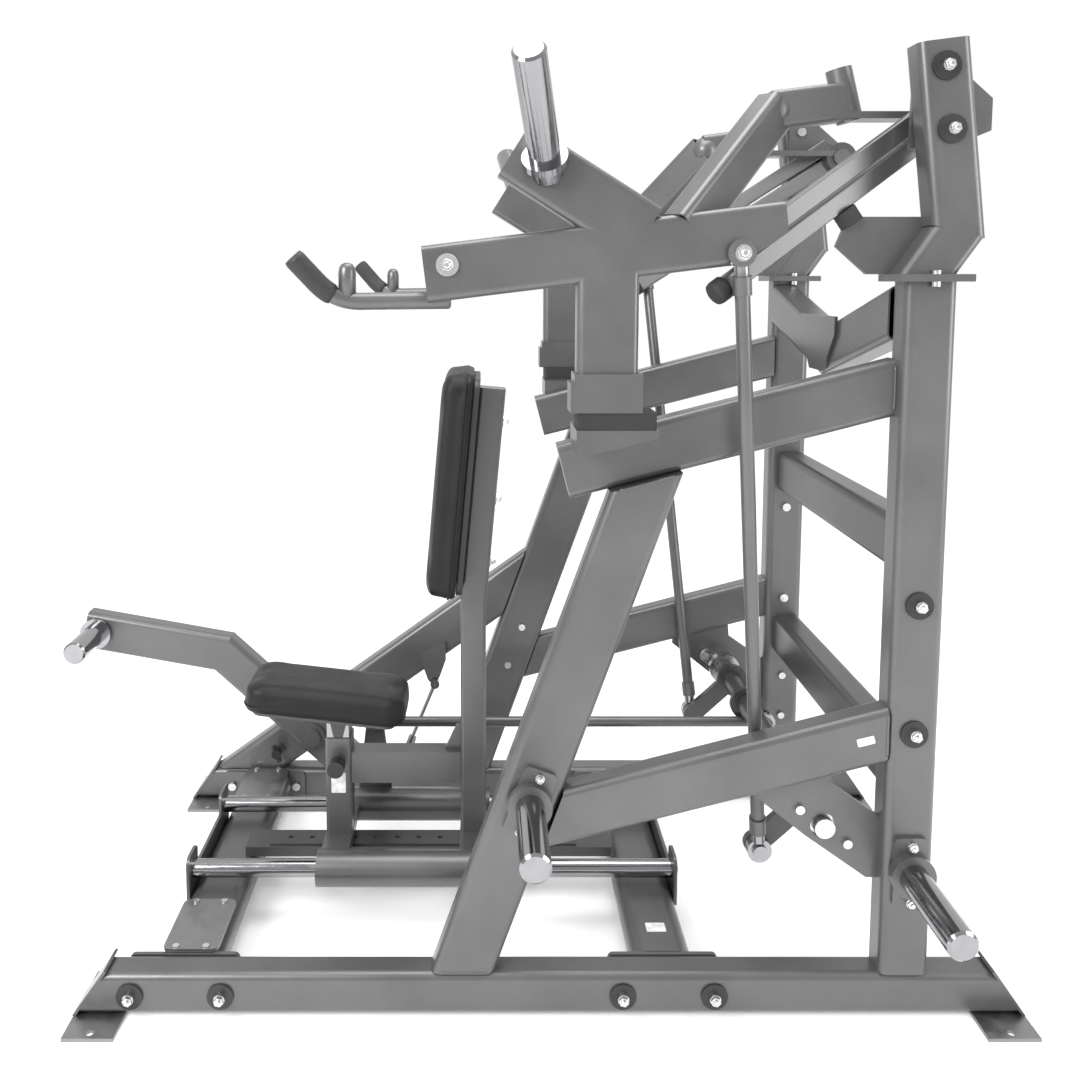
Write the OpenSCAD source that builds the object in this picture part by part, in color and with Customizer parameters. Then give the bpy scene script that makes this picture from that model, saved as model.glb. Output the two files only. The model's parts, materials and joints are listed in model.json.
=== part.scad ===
// Plate-loaded seated press with two pivoting press arms and a rolling seat carriage.
// Millimetres, +Z up, +X to the rear, the user faces -X. The near side is -Y.
// Every node is one sub-part in its rest place. The far side mirrors the near side.

/* [Frame] */
// distance from the centre plane to the middle of each side frame
half_w = 375; // [340:1:420]
// top of the base rails
base_top = 80; // [60:1:100]
// height of a base rail's foot plate
foot_t = 6; // [4:1:10]
// wall of the main tubes
wall = 3; // [2:0.5:4]
// front face of the uprights
up_x = 688; // [660:1:720]
// top of the uprights
up_top = 1272; // [1200:1:1320]
// centre of the front cross tube
front_x = -517; // [-560:1:-480]
// centre of the middle cross tube
mid_x = 325; // [280:1:360]

/* [Carriage] */
// distance of a guide rod from the centre plane
rod_y = 126; // [110:1:150]
// height of the guide rods
rod_z = 108; // [100:1:120]
// guide rod diameter
rod_d = 35; // [25:1:40]
// clearance of each running fit, on the radius
fit = 0.05; // [0.02:0.01:0.1]

/* [Arms] */
// press arm pivot, along X
piv_x = 800; // [780:1:820]
// press arm pivot height
piv_z = 1545; // [1500:1:1580]
// middle plane of the press arm's main tube
arm_y = 430; // [410:1:450]
// plate horn diameter
horn_d = 50; // [25:1:51]

/* [Hidden] */
$fn = 48;
g = 0.4;                   // gap between parts that move past each other
y_in = half_w - 30;
y_out = half_w + 30;
rail_a = 14.5;             // slope of the upper side rails
low_a = 14.8;              // slope of the lower side rails
strut_a = 70.4;            // slope of the struts
crank = [593, 334];        // crank shaft centre, XZ
cpin = [503, 250];         // pushrod pin on the crank at rest
eye_top = [404, 1316];     // pushrod pin on the press arm at rest
eye_top_y = 466;
eye_low_y = 301;
lpin = [634, 300];         // link rod pin on the crank
link_y = 124;
link_front = -236;         // link rod pin on the carriage
boss = [-401, 190];        // pivot of the front lever
lev_y = 316;               // middle plane of the front lever
slope_lev = 34.3;

// ---- profiles and beams ----
module rr(h, w, r) {
  square([h - 2 * r, w], center = true);
  square([h, w - 2 * r], center = true);
  for (i = [-1, 1], j = [-1, 1]) translate([i * (h / 2 - r), j * (w / 2 - r)]) circle(r);
}
// orients +Z along the line p to q, with the profile's x axis in the upright plane
module along(p, q) {
  d = q - p;
  translate(p) rotate([0, -atan2(d[2], norm([d[0], d[1]])), atan2(d[1], d[0])])
    rotate([0, 90, 0]) children();
}
module solid_beam(p, q, h, w, r) along(p, q) linear_extrude(norm(q - p)) rr(h, w, r);
module beam(p, q, h, w, r, t = wall) along(p, q) linear_extrude(norm(q - p)) difference() {
  rr(h, w, r);
  rr(h - 2 * t, w - 2 * t, max(r - t, 1));
}
module bar(p, q, d) along(p, q) cylinder(h = norm(q - p), d = d);
module ycyl(x, y0, y1, z, d) translate([x, y0, z]) rotate([-90, 0, 0]) cylinder(h = y1 - y0, d = d);
module zcyl(x, y, z0, z1, d) translate([x, y, z0]) cylinder(h = z1 - z0, d = d);
module box(a, b) translate(a) cube(b - a);
module far() mirror([0, 1, 0]) children();
module both() { children(); far() children(); }
// the half space above (s = 1) or below (s = -1) a plane through [x, z] sloping at angle a
module slab(x, z, a, s, y0 = -700, y1 = 700)
  translate([x, y0, z]) rotate([0, -a, 0]) translate([-2500, 0, s > 0 ? 0 : -3000])
    cube([5000, y1 - y0, 3000]);
// plate in the XZ plane between two Y values, from a list of [x, z]
module plate(pts, y0, y1) translate([0, y1, 0]) rotate([90, 0, 0]) linear_extrude(y1 - y0) polygon(pts);

// ---- side frames, near side; holes for the through bolts ----
frame_bolt_xz = [[-607, 42], [-450, 42], [246, 42], [404, 42]];
up_bolt_z = [735, 513];
module bolt_holes() for (b = frame_bolt_xz) ycyl(b[0], -500, 500, b[1], 12.6);
module n_base() difference() {
  beam([-760, -half_w, (base_top + foot_t) / 2], [1000, -half_w, (base_top + foot_t) / 2],
    base_top - foot_t, 60, 15);
  plate([[-900, -1], [-706.9, -1], [-621.5, 121], [-900, 121]], -500, -300);
  plate([[942.9, -1], [1100, -1], [1100, 121], [857.5, 121]], -500, -300);
  bolt_holes();
}
module near_base_rail() color([0.45, 0.45, 0.46]) n_base();
module far_base_rail() color([0.45, 0.45, 0.46]) far() n_base();

rail0 = [143, 955];         // middle of the upper rail's front end
module rail_env() solid_beam([rail0[0] - 60, -352, rail0[1] - 60 * tan(rail_a)],
  [900, -352, rail0[1] + (900 - rail0[0]) * tan(rail_a)], 94, 50, 12);
module n_strut() difference() {
  union() {
    beam([-31 - 40 / tan(strut_a), -half_w, base_top - 40], [-31 + 1000 / tan(strut_a), -half_w,
      base_top + 1000], 104, 54, 14);
    // closing plate under the upper rail
    intersection() {
      solid_beam([-31 + 600 / tan(strut_a), -half_w, base_top + 600], [-31 + 1000 / tan(strut_a),
        -half_w, base_top + 1000], 104, 54, 14);
      slab(rail0[0], rail0[1] - 51 / cos(rail_a), rail_a, 1);
    }
  }
  box([-300, -500, 0], [300, -300, base_top]);
  slab(rail0[0], rail0[1] - 47 / cos(rail_a), rail_a, 1);
  for (s = [-1, 1]) ycyl(83 + s * 50 * cos(strut_a), -500, -300, 392 + s * 50 * sin(strut_a), 10.6);
}
module near_strut() color([0.5, 0.5, 0.51]) n_strut();
module far_strut() color([0.5, 0.5, 0.51]) far() n_strut();

module n_upright() difference() {
  union() {
    translate([up_x + 42.5, -half_w, base_top]) linear_extrude(up_top - base_top) difference() {
      rr(85, 60, 14);
      rr(79, 54, 11);
    }
    difference() {
      box([up_x - 17, -half_w - 47, up_top], [up_x + 103, -half_w + 47, up_top + 6]);
      for (s = [-1, 1]) zcyl(up_x + 43, -half_w + s * 38.5, up_top - 1, up_top + 9, 10.6);
    }
  }
  for (z = up_bolt_z) ycyl(up_x + 42, -500, -300, z, 12.6);
  for (z = [320, 220]) ycyl(up_x + 43, -500, -300, z, 10.6);
}
module near_upright() color([0.42, 0.42, 0.43]) n_upright();
module far_upright() color([0.42, 0.42, 0.43]) far() n_upright();

module n_upper() difference() {
  beam([rail0[0], -352, rail0[1]], [900, -352, rail0[1] + (900 - rail0[0]) * tan(rail_a)], 94, 50, 12);
  box([up_x, -500, 900], [1100, -300, 1300]);
}
module near_upper_rail() color([0.5, 0.5, 0.51]) n_upper();
module far_upper_rail() color([0.5, 0.5, 0.51]) far() n_upper();

module low_env(x0 = -60) solid_beam([x0, -380, 508 - (up_x - x0) * tan(low_a)],
  [900, -380, 508 + (900 - up_x) * tan(low_a)], 92, 50, 12);
module strut_env() solid_beam([-31 - 40 / tan(strut_a), -half_w, base_top - 40],
  [-31 + 1000 / tan(strut_a), -half_w, base_top + 1000], 104, 60, 1);
module n_lower() difference() {
  beam([-60, -380, 508 - (up_x + 60) * tan(low_a)], [900, -380, 508 + (900 - up_x) * tan(low_a)], 92, 50, 12);
  box([up_x, -500, 300], [1100, -300, 900]);
  // all that is in front of the strut's rear face
  translate([-31 + 52 / sin(strut_a), -500, base_top]) rotate([0, 90 - strut_a, 0])
    translate([-2000, 0, -1000]) cube([2000, 400, 3000]);
}
module near_lower_rail() color([0.47, 0.47, 0.48]) n_lower();
module far_lower_rail() color([0.47, 0.47, 0.48]) far() n_lower();

// ---- cross members ----
module cross(x, z, h, w, r) translate([x, y_in - 8, z]) rotate([90, 0, 0])
  linear_extrude(2 * (y_in - 8)) difference() {
    rr(w, h, r);
    rr(w - 2 * wall, h - 2 * wall, r - wall);
  }
module flange(x, z, h, w) both() difference() {
  translate([x, -y_in + 8, z]) rotate([90, 0, 0]) linear_extrude(8) rr(w, h, 10);
  bolt_holes();
}
module front_cross_tube() color([0.45, 0.45, 0.46]) {
  cross(front_x, 48, 60, 110, 27);
  flange(-528.5, 44, 66, 196);
}
module middle_cross_tube() color([0.45, 0.45, 0.46]) {
  cross(mid_x, 48, 60, 110, 27);
  flange(mid_x, 44, 66, 196);
}
module rear_upper_cross_tube() color([0.4, 0.4, 0.41])
  translate([738, y_in, 822]) rotate([90, 0, 0]) linear_extrude(2 * y_in) difference() {
    rr(60, 94, 14);
    rr(54, 88, 11);
  }
module rear_lower_cross_tube() color([0.4, 0.4, 0.41])
  translate([738, y_in, 425]) rotate([90, 0, 0]) linear_extrude(2 * y_in) difference() {
    rr(60, 94, 14);
    rr(54, 88, 11);
  }
// shallow V between the upright tops, with a blank plate across its middle
module v_half(h, w, r) difference() {
  solid_beam([712, -460, 1249.4], [712, 60, 1114.4], h, w, r);
  box([600, 0, 900], [900, 500, 1500]);
}
module v_cross_member() color([0.38, 0.38, 0.39]) {
  difference() {
    both() v_half(88, 58, 12);
    both() v_half(82, 52, 9);
    box([600, -700, 900], [900, -y_in, 1500]);
    box([600, y_in, 900], [900, 700, 1500]);
  }
  translate([677, 0, 0]) rotate([90, 0, 90]) linear_extrude(6)
    polygon([[-40, 1095], [40, 1095], [104, 1170], [104, 1205], [-104, 1205], [-104, 1170]]);
}

// ---- towers and pivots ----
tw0 = [720, 1278];
tw1 = [772, 1352];
tw2 = [735, 1650];
tw_d = (tw2 - tw1) / norm(tw2 - tw1);
tw_m = atan2(tw2[1] - tw1[1], tw2[0] - tw1[0]);
lo_m = atan2(tw1[1] - tw0[1], tw1[0] - tw0[0]);
mit = (tw_m + lo_m) / 2;    // direction that bisects the two tower legs
module tower_env() {
  difference() {
    solid_beam([tw1[0] - tw_d[0] * 60, -half_w, tw1[1] - tw_d[1] * 60], [tw2[0], -half_w, tw2[1]], 84, 60, 14);
    slab(tw1[0], tw1[1], mit - 90, -1);
  }
  difference() {
    solid_beam([tw0[0] - 40, -half_w, tw0[1] - 57], [tw1[0] + 40, -half_w, tw1[1] + 57], 78, 60, 14);
    slab(tw1[0], tw1[1], mit - 90, 1);
  }
}
module n_tower() difference() {
  union() {
    difference() {
      beam([tw1[0] - tw_d[0] * 60, -half_w, tw1[1] - tw_d[1] * 60], [tw2[0], -half_w, tw2[1]], 84, 60, 14);
      slab(tw1[0], tw1[1], mit - 90, -1);
    }
    difference() {
      beam([tw0[0] - 40, -half_w, tw0[1] - 57], [tw1[0] + 40, -half_w, tw1[1] + 57], 78, 60, 14);
      slab(tw1[0], tw1[1], mit - 90, 1);
      box([500, -500, 1100], [900, -300, up_top + 12]);
    }
    difference() {
      box([up_x - 17, -half_w - 47, up_top + 6], [up_x + 103, -half_w + 47, up_top + 12]);
      for (s = [-1, 1]) zcyl(up_x + 43, -half_w + s * 38.5, up_top + 5, up_top + 19, 10.6);
    }
  }
  for (b = [[737, 1612], [750, 1514]]) ycyl(b[0], -500, -300, b[1], 12.6);
}
module near_tower() color([0.52, 0.52, 0.53]) n_tower();
module far_tower() color([0.52, 0.52, 0.53]) far() n_tower();
// bearing block on the inner face of a tower, with the stub axle the press arm turns on
module n_housing() difference() {
  union() {
    plate([[708, 1490], [770, 1490], [842, 1520], [842, 1572], [772, 1632], [712, 1632]], -y_in, -y_in + 10);
    ycyl(piv_x, -y_in + 10, -303, piv_z, 76);
    ycyl(piv_x, -304, -236, piv_z, 36);
  }
  for (b = [[737, 1612], [750, 1514]]) ycyl(b[0], -500, -300, b[1], 12.6);
}
module pivot_housings() color([0.08, 0.08, 0.08]) both() n_housing();
bump = [614.9, 1367.2];     // foot of the stop bumper, XZ
module stop_gussets() color([0.55, 0.55, 0.56]) both() difference() {
  plate([[598.4, 1355.9], [631.4, 1378.5], [760, 1378.5], [760, up_top + 12], [640, up_top + 12],
    [588, 1330]], -356, -346);
  tower_env();
}
module stop_bumpers() color([0.06, 0.06, 0.06]) both()
  translate([bump[0], -351, bump[1]]) rotate([0, -slope_lev, 0]) cylinder(h = 25.4, d = 40);

// ---- far side brace, feet, end plates ----
br = [-49, 451.6];
br_a = 35.8;
module strut_front(y0, y1) translate([-31 - 52 / sin(strut_a), y0, base_top])
  rotate([0, 90 - strut_a, 0]) translate([0, 0, -1000]) cube([2000, y1 - y0, 3000]);
module far_brace() color([0.45, 0.45, 0.46]) difference() {
  union() {
    difference() {
      beam([br[0] - 700, half_w, br[1] - 700 * tan(br_a)], [br[0] + 200, half_w, br[1] + 200 * tan(br_a)],
        98, 50, 12);
      box([-900, 300, -300], [300, 500, base_top]);
      strut_front(300, 500);
    }
    // pivot pin of the front lever and the sleeve of its locking pin
    ycyl(boss[0], 281.4, 352, boss[1], 24);
    ycyl(boss[0], 273, 281.4, boss[1], 40);
    ycyl(-494, 338, 352, 133, 26);
  }
  ycyl(-494, 330, 372, 133, 12.1);
}
module foot_plates() color([0.62, 0.62, 0.63]) both() for (x = [[-706, -618], [854, 943]]) difference() {
  box([x[0], -460, 0], [x[1], -290, foot_t]);
  for (y = [-446, -304]) zcyl((x[0] + x[1]) / 2, y, -1, foot_t + 1, 14);
}
module end_plates() color([0.5, 0.5, 0.51]) {
  both() {
    plate([[-702, 6], [-646.4, 85.4], [-650.5, 88.3], [-708.1, 6]], -y_out - 1, -y_in + 1);
    plate([[938, 6], [882.4, 85.4], [886.5, 88.3], [944.1, 6]], -y_out - 1, -y_in + 1);
    // tower caps and the caps on the front of the upper rails
    along([tw2[0], -half_w, tw2[1]], [tw2[0] + tw_d[0] * 4, -half_w, tw2[1] + tw_d[1] * 4])
      linear_extrude(4) rr(84, 60, 14);
    along([rail0[0], -352, rail0[1]], [rail0[0] - 4 * cos(rail_a), -352, rail0[1] - 4 * sin(rail_a)])
      linear_extrude(4) rr(94, 50, 12);
  }
}
module footrest_plates() color([0.66, 0.66, 0.67]) both() difference() {
  translate([-520, -266, 78]) linear_extrude(6) rr(100, 150, 14);
  for (x = [-547, -493], y = [-334, -200]) zcyl(x, y, 77, 85, 7);
}

// ---- guide rods, brackets, centre rail ----
module rod_brackets() color([0.42, 0.42, 0.43]) for (x = [[-578, -572], [380, 386]]) difference() {
  union() {
    box([x[0], -rod_y - 32, 50], [x[1], rod_y + 32, 100]);
    for (s = [-1, 1]) translate([x[0], s * rod_y, 108]) rotate([0, 90, 0]) linear_extrude(6) rr(70, 64, 14);
  }
  for (s = [-1, 1]) translate([x[0] - 1, s * rod_y, rod_z]) rotate([0, 90, 0]) cylinder(h = 8, d = 12.6);
}
module guide_rods() color([0.85, 0.85, 0.86]) both()
  translate([-572, -rod_y, rod_z]) rotate([0, 90, 0]) cylinder(h = 952, d = rod_d);
module centre_rail() color([0.4, 0.4, 0.41]) {
  difference() {
    box([-490, -34, 78], [272, 34, 98]);
    box([-495, -31, 81], [277, 31, 95]);
  }
  difference() {
    box([-440, -26, 98], [200, 26, 101]);
    for (i = [0:12]) zcyl(-400 + i * 45, 0, 97, 102, 11);
  }
}

// ---- plate storage horns ----
st_dir = [cos(strut_a), sin(strut_a)];
h1 = [83, 392];
h2 = [731, 270];
// bar from y0 out to y1, with a thinner spigot of length sp behind y0
module horn(p, y0, y1, sp = 16) translate([p[0], y0, p[1]]) rotate([90, 0, 0]) {
  cylinder(h = y0 - y1 - 4, d = horn_d);
  translate([0, 0, y0 - y1 - 4]) cylinder(h = 4, d1 = horn_d, d2 = horn_d - 8);
  if (sp > 0) translate([0, 0, -sp]) cylinder(h = sp + 1, d = 46);
}
module storage_horns() color([0.85, 0.85, 0.86]) both() {
  horn(h1, -half_w - 51, -605);
  horn(h2, -y_out - 24, -608);
}
module horn_base(p, a, y) difference() {
  union() {
    translate([p[0], y, p[1]]) rotate([90, 0, 0]) rotate(a) linear_extrude(8) rr(124, 58, 10);
    ycyl(p[0], y - 24, y - 8, p[1], 76);
  }
  ycyl(p[0], y - 25, y + 1, p[1], 46.1);
  for (s = [-1, 1]) ycyl(p[0] + s * 50 * cos(a), y - 9, y + 1, p[1] + s * 50 * sin(a), 10.6);
}
module storage_horn_bases() color([0.5, 0.5, 0.51]) both() {
  horn_base(h1, strut_a, -half_w - 27);
  horn_base(h2, 90, -y_out);
}

// ---- rests for the press arms ----
module rest_brackets() color([0.55, 0.55, 0.56]) both() difference() {
  box([152, -460, 1000], [282, -345, 1037]);
  rail_env();
  slab(282, 1025, rail_a, -1);
}
module rest_pads() color([0.06, 0.06, 0.06]) both()
  translate([217, -423, 1037]) linear_extrude(28 - g) rr(126, 72, 8);

// ---- crank shaft supports ----
module crank_plates() color([0.5, 0.5, 0.51]) both() difference() {
  plate([[468, 392], [476, 450], [600, 480], [606, 410], [up_x, 352], [up_x, 240], [670, 240],
    [560, 318]], -374, -366);
  low_env(-60);
  ycyl(crank[0], -380, -360, crank[1], 44);
  for (s = [-1, 1]) ycyl(crank[0] + s * 42, -380, -360, crank[1] - s * 31, 10.6);
}
module shaft_bearings() color([0.8, 0.8, 0.8]) both() difference() {
  union() {
    translate([crank[0], -344, crank[1]]) rotate([90, 0, 0]) {
      linear_extrude(22) circle(36);
      translate([0, 0, 10]) linear_extrude(12) rotate(-36.4) {
        square([104, 34], center = true);
        for (s = [-1, 1]) translate([s * 52, 0]) circle(17);
      }
    }
  }
  ycyl(crank[0], -380, -340, crank[1], 35 + 2 * fit);
  for (s = [-1, 1]) ycyl(crank[0] + s * 42, -380, -340, crank[1] - s * 31, 10.6);
}

// ---- fasteners of the frame ----
// through bolt along Y: head outside at y0, nut inside at y1
module ybolt(x, z, y0, y1, d = 12) {
  ycyl(x, y0 - 7, y0, z, d * 1.6);
  ycyl(x, y0 - 0.5, y1 + 0.5, z, d);
  ycyl(x, y1, y1 + 8, z, d * 1.6);
}
module frame_bolts() color([0.8, 0.8, 0.81]) {
  both() {
    for (b = frame_bolt_xz) ybolt(b[0], b[1], -y_out - 4, -y_in + 8);
    for (z = up_bolt_z) ybolt(up_x + 42, z, -y_out - 4, -y_in);
    for (z = [320, 220]) ybolt(h2[0], z, -y_out - 8, -y_in, 10);
    for (s = [-1, 1]) ybolt(h1[0] + s * 50 * st_dir[0], h1[1] + s * 50 * st_dir[1], -half_w - 35,
      -half_w + 27, 10);
    for (b = [[737, 1612], [750, 1514]]) ybolt(b[0], b[1], -y_out - 4, -y_in + 10);
    for (s = [-1, 1]) ybolt(crank[0] + s * 42, crank[1] - s * 31, -374, -344, 10);
    for (s = [-1, 1]) translate([up_x + 43, -half_w + s * 38.5, 0]) {
      translate([0, 0, up_top + 12]) cylinder(h = 6, d = 14.5);
      translate([0, 0, up_top - 0.5]) cylinder(h = 13, d = 10);
      translate([0, 0, up_top - 8]) cylinder(h = 8, d = 14.5);
    }
    for (x = [-547, -493], y = [-334, -200]) {
      zcyl(x, y, 84, 87, 12);
      zcyl(x, y, 78, 84.5, 6.4);
    }
  }
  for (s = [-1, 1]) {
    translate([-584, s * rod_y, rod_z]) rotate([0, 90, 0]) cylinder(h = 6, d = 19);
    translate([-579, s * rod_y, rod_z]) rotate([0, 90, 0]) cylinder(h = 7, d = 12);
    translate([386, s * rod_y, rod_z]) rotate([0, 90, 0]) cylinder(h = 6, d = 19);
    translate([380, s * rod_y, rod_z]) rotate([0, 90, 0]) cylinder(h = 7, d = 12);
  }
}
module cover(x, z, y) difference() {
  ycyl(x, y - 4, y, z, 46);
  ycyl(x, y - 5, y + 1, z, 12.6);
}
module bolt_covers() color([0.06, 0.06, 0.06]) both() {
  for (b = frame_bolt_xz) cover(b[0], b[1], -y_out);
  for (z = up_bolt_z) cover(up_x + 42, z, -y_out);
  for (b = [[737, 1612], [750, 1514]]) cover(b[0], b[1], -y_out);
}

// ---- press arms, near side ----
S = [piv_x, -275, piv_z];
E = [388, -431, piv_z - 412 * tan(slope_lev)];
LE = norm(E - S);
arm_a = 7;
function mz(x) = 1283 + (x + 88) * tan(arm_a);
module bars(c = 0) along(S, E) {
  linear_extrude(LE) rr(32 + c, 16 + c, 3);
  translate([0, 0, 0]) linear_extrude(LE - 96) translate([-36, 0]) rr(32 + c, 16 + c, 3);
}
module clevis() box([600, -290, 1548], [794, -240, 1560]);
module n_lever() difference() {
  union() {
    bars();
    ycyl(piv_x, -302.6, -242, piv_z, 66);
    clevis();
  }
  ycyl(piv_x, -330, -200, piv_z, 36 + 2 * fit);
}
sl0 = [636, -266, 1545];
sl1 = [613, -266, 1634];
module arm_solid(t) {
  solid_beam([-88 + t, -arm_y, mz(-88 + t)], [480 - t, -arm_y, mz(480 - t)], 90 - 2 * t, 50 - 2 * t, 12 - t);
  solid_beam([318, -arm_y, 1350], [504, -270, 1563], 72 - 2 * t, 48 - 2 * t, 11 - t);
  translate([504, -270, 1563]) sphere(30 - t);
  solid_beam([500, -270, 1562.5], [622, -266, 1578], 66 - 2 * t, 46 - 2 * t, 11 - t);
  solid_beam([52 + t, -arm_y, 1476 - t * 0.63], [258, -arm_y, 1347], 95 - 2 * t, 50 - 2 * t, 12 - t);
  translate([201, -arm_y, 1127 - t]) linear_extrude(190) rr(98 - 2 * t, 50 - 2 * t, 12 - t);
}
module n_arm() difference() {
  union() {
    difference() {
      union() {
        arm_solid(0);
        along(sl0, sl1) cylinder(h = norm(sl1 - sl0), r = 22);
      }
      arm_solid(wall);
    }
    box([148, -arm_y - 32, 1112], [256, -arm_y + 32, 1127]);
    difference() {
      box([142, -arm_y - 32, 1065], [256, -arm_y + 32, 1112]);
      box([150, -arm_y - 24, 1073], [248, -arm_y + 24, 1113]);
    }
    ycyl(eye_top[0], -456.6, -452.5, eye_top[1], 30);
    ycyl(eye_top[0], -483, -455, eye_top[1], 16);
    ycyl(eye_top[0], -483, -475.4, eye_top[1], 26);
    // bolt that clamps the handle and the bolt of the sleeve
    ycyl(-52, -463, -455, 1298, 22);
    ycyl(-52, -459, -455, 1298, 36);
  }
  bars(0.2);
  clevis();
  intersection() {
    slab(413, 1303, slope_lev, -1);
    box([340, -700, 1100], [700, -380, 1500]);
  }
  horn_bar(0.1);
}
hb = [104, -448, 1438];
ht = [66, -620, 1592];
module horn_bar(c) along(hb, ht) cylinder(h = norm(ht - hb) - (c > 0 ? 40 : 4), d = horn_d + 2 * c);
module n_horn() {
  difference() {
    union() {
      horn_bar(0);
      along(hb, ht) translate([0, 0, norm(ht - hb) - 4]) cylinder(h = 4, d1 = horn_d, d2 = horn_d - 8);
      along(hb, ht) translate([0, 0, 26]) cylinder(h = 13, d = 72);
    }
    box([-200, -455.2, 1200], [400, -300, 1700]);
  }
}
hA = [-20, -arm_y, 1243];
hB = [-232, -arm_y, 1240];
hC = [-288, -448, 1303];
hN = ((hB - hA) / norm(hB - hA) + (hC - hB) / norm(hC - hB));
module n_handle() difference() {
  union() {
    difference() {
      bar(hA, hB - [16, 0, 0], 28);
      along(hB, hB + hN) translate([-100, -100, 0]) cube([200, 200, 300]);
    }
    difference() {
      bar(hB - (hC - hB) * 0.25, hC, 28);
      along(hB, hB + hN) translate([-100, -100, -300]) cube([200, 200, 300]);
    }
    zcyl(-212, -arm_y, 1243, 1298, 28);
    zcyl(-212, -arm_y, 1298, 1302, 22);
  }
  solid_beam([-88, -arm_y, mz(-88)], [480, -arm_y, mz(480)], 90, 50, 12);
}
hD = hB + (hC - hB) * 0.32;
hE = hC + (hC - hB) * 0.12;
module n_grips() {
  difference() {
    bar(hD, hE, 35);
    bar(hB - (hC - hB) * 0.25, hC, 28);
  }
  bar(E, E + (E - S) * (26 / LE), 36);
}
module near_arm_tubes() color([0.6, 0.6, 0.61]) n_arm();
module near_lever() color([0.55, 0.55, 0.56]) n_lever();
module near_horn() color([0.85, 0.85, 0.86]) n_horn();
module near_handle() color([0.6, 0.6, 0.61]) n_handle();
module near_grips() color([0.07, 0.07, 0.07]) n_grips();
module far_arm_tubes() color([0.6, 0.6, 0.61]) far() n_arm();
module far_lever() color([0.55, 0.55, 0.56]) far() n_lever();
module far_horn() color([0.85, 0.85, 0.86]) far() n_horn();
module far_handle() color([0.6, 0.6, 0.61]) far() n_handle();
module far_grips() color([0.07, 0.07, 0.07]) far() n_grips();

// ---- pushrods, crank, link rod ----
pt = [eye_top[0], -eye_top_y, eye_top[1]];
pb = [cpin[0], -eye_low_y, cpin[1]];
pd = (pb - pt) / norm(pb - pt);
module n_pushrod() difference() {
  union() {
    bar(pt + pd * 18, pb - pd * 18, 24);
    bar(pt + pd * 36, pt + pd * 66, 30);
    bar(pb - pd * 66, pb - pd * 36, 30);
    ycyl(pt[0], pt[1] - 9, pt[1] + 9, pt[2], 44);
    ycyl(pb[0], pb[1] - 9, pb[1] + 9, pb[2], 44);
    // bolt of the lower eye, level with the crank's face
    ycyl(pb[0], pb[1] - 17, pb[1] + 12, pb[2], 16);
    ycyl(pb[0], pb[1] - 17, pb[1] - 9, pb[2], 26);
  }
  ycyl(pt[0], pt[1] - 20, pt[1] + 20, pt[2], 16 + 2 * fit);
}
module near_pushrod() color([0.6, 0.6, 0.61]) n_pushrod();
module far_pushrod() color([0.6, 0.6, 0.61]) far() n_pushrod();
function out(p) = p - crank;
module arm_plate(p, y0, y1, r0, r1) {
  L = norm(out(p));
  translate([crank[0], y1, crank[1]]) rotate([90, 0, 0]) linear_extrude(y1 - y0) {
    circle(r0);
    translate([out(p)[0], out(p)[1]]) circle(r1);
    rotate(atan2(out(p)[1], out(p)[0])) translate([L / 2, 0]) square([L, 2 * r1 - 5], center = true);
  }
}
module crank_shaft() color([0.45, 0.45, 0.46]) {
  ycyl(crank[0], -342, 342, crank[1], 44);
  both() ycyl(crank[0], -386, -341, crank[1], 35);
  both() arm_plate(cpin, -288, -273, 36, 22);
  arm_plate(lpin, link_y + 13, link_y + 25, 36, 18);
  ycyl(lpin[0], link_y - 15, link_y + 14, lpin[1], 12);
  ycyl(lpin[0], link_y - 15, link_y - 7.4, lpin[1], 20);
}
module link_rod() color([0.5, 0.5, 0.51]) difference() {
  union() {
    bar([link_front + 12, link_y, lpin[1]], [lpin[0] - 12, link_y, lpin[1]], 22);
    ycyl(link_front, link_y - 7, link_y + 7, lpin[1], 36);
    ycyl(lpin[0], link_y - 7, link_y + 7, lpin[1], 36);
    ycyl(link_front, link_y - 14, link_y + 12, lpin[1], 12);
    ycyl(link_front, link_y - 14, link_y - 7, lpin[1], 20);
  }
  ycyl(lpin[0], link_y - 20, link_y + 20, lpin[1], 12 + 2 * fit);
}

// ---- front lever ----
f0 = [-936, 449];
f1 = [-613, 390];
f2 = [-330, 127];
fm = (atan2(f1[1] - f0[1], f1[0] - f0[0]) + atan2(f2[1] - f1[1], f2[0] - f1[0])) / 2;
module lever_leg(p, q, h, w, r, s) difference() {
  solid_beam([p[0], lev_y, p[1]], [q[0], lev_y, q[1]], h, w, r);
  slab_at(f1, fm, s);
}
// half space before (s = -1) or after (s = 1) the mitre plane through c
module slab_at(c, a, s) translate([c[0], 200, c[1]]) rotate([0, -a, 0])
  translate([s > 0 ? 0 : -2000, 0, -500]) cube([2000, 300, 1000]);
function ext(p, q, e) = q + (q - p) / norm(q - p) * e;
module lever_solid(t) {
  lever_leg(ext(f1, f0, -t), ext(f0, f1, 60), 88 - 2 * t, 50 - 2 * t, 12 - t, 1);
  lever_leg(ext(f2, f1, 60), ext(f1, f2, 14 - t), 88 - 2 * t, 50 - 2 * t, 12 - t, -1);
}
module front_lever() color([0.5, 0.5, 0.51]) difference() {
  union() {
    difference() { lever_solid(0); lever_solid(wall); }
    ycyl(boss[0], lev_y - 34, lev_y + 33.2, boss[1], 60);
  }
  ycyl(boss[0], 200, 400, boss[1], 24 + 2 * fit);
}
module front_lever_horn() color([0.85, 0.85, 0.86]) {
  horn([-908, 444], lev_y - 25, lev_y - 165, 0);
  ycyl(-908, lev_y - 38, lev_y - 25, 444, 72);
}
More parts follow.
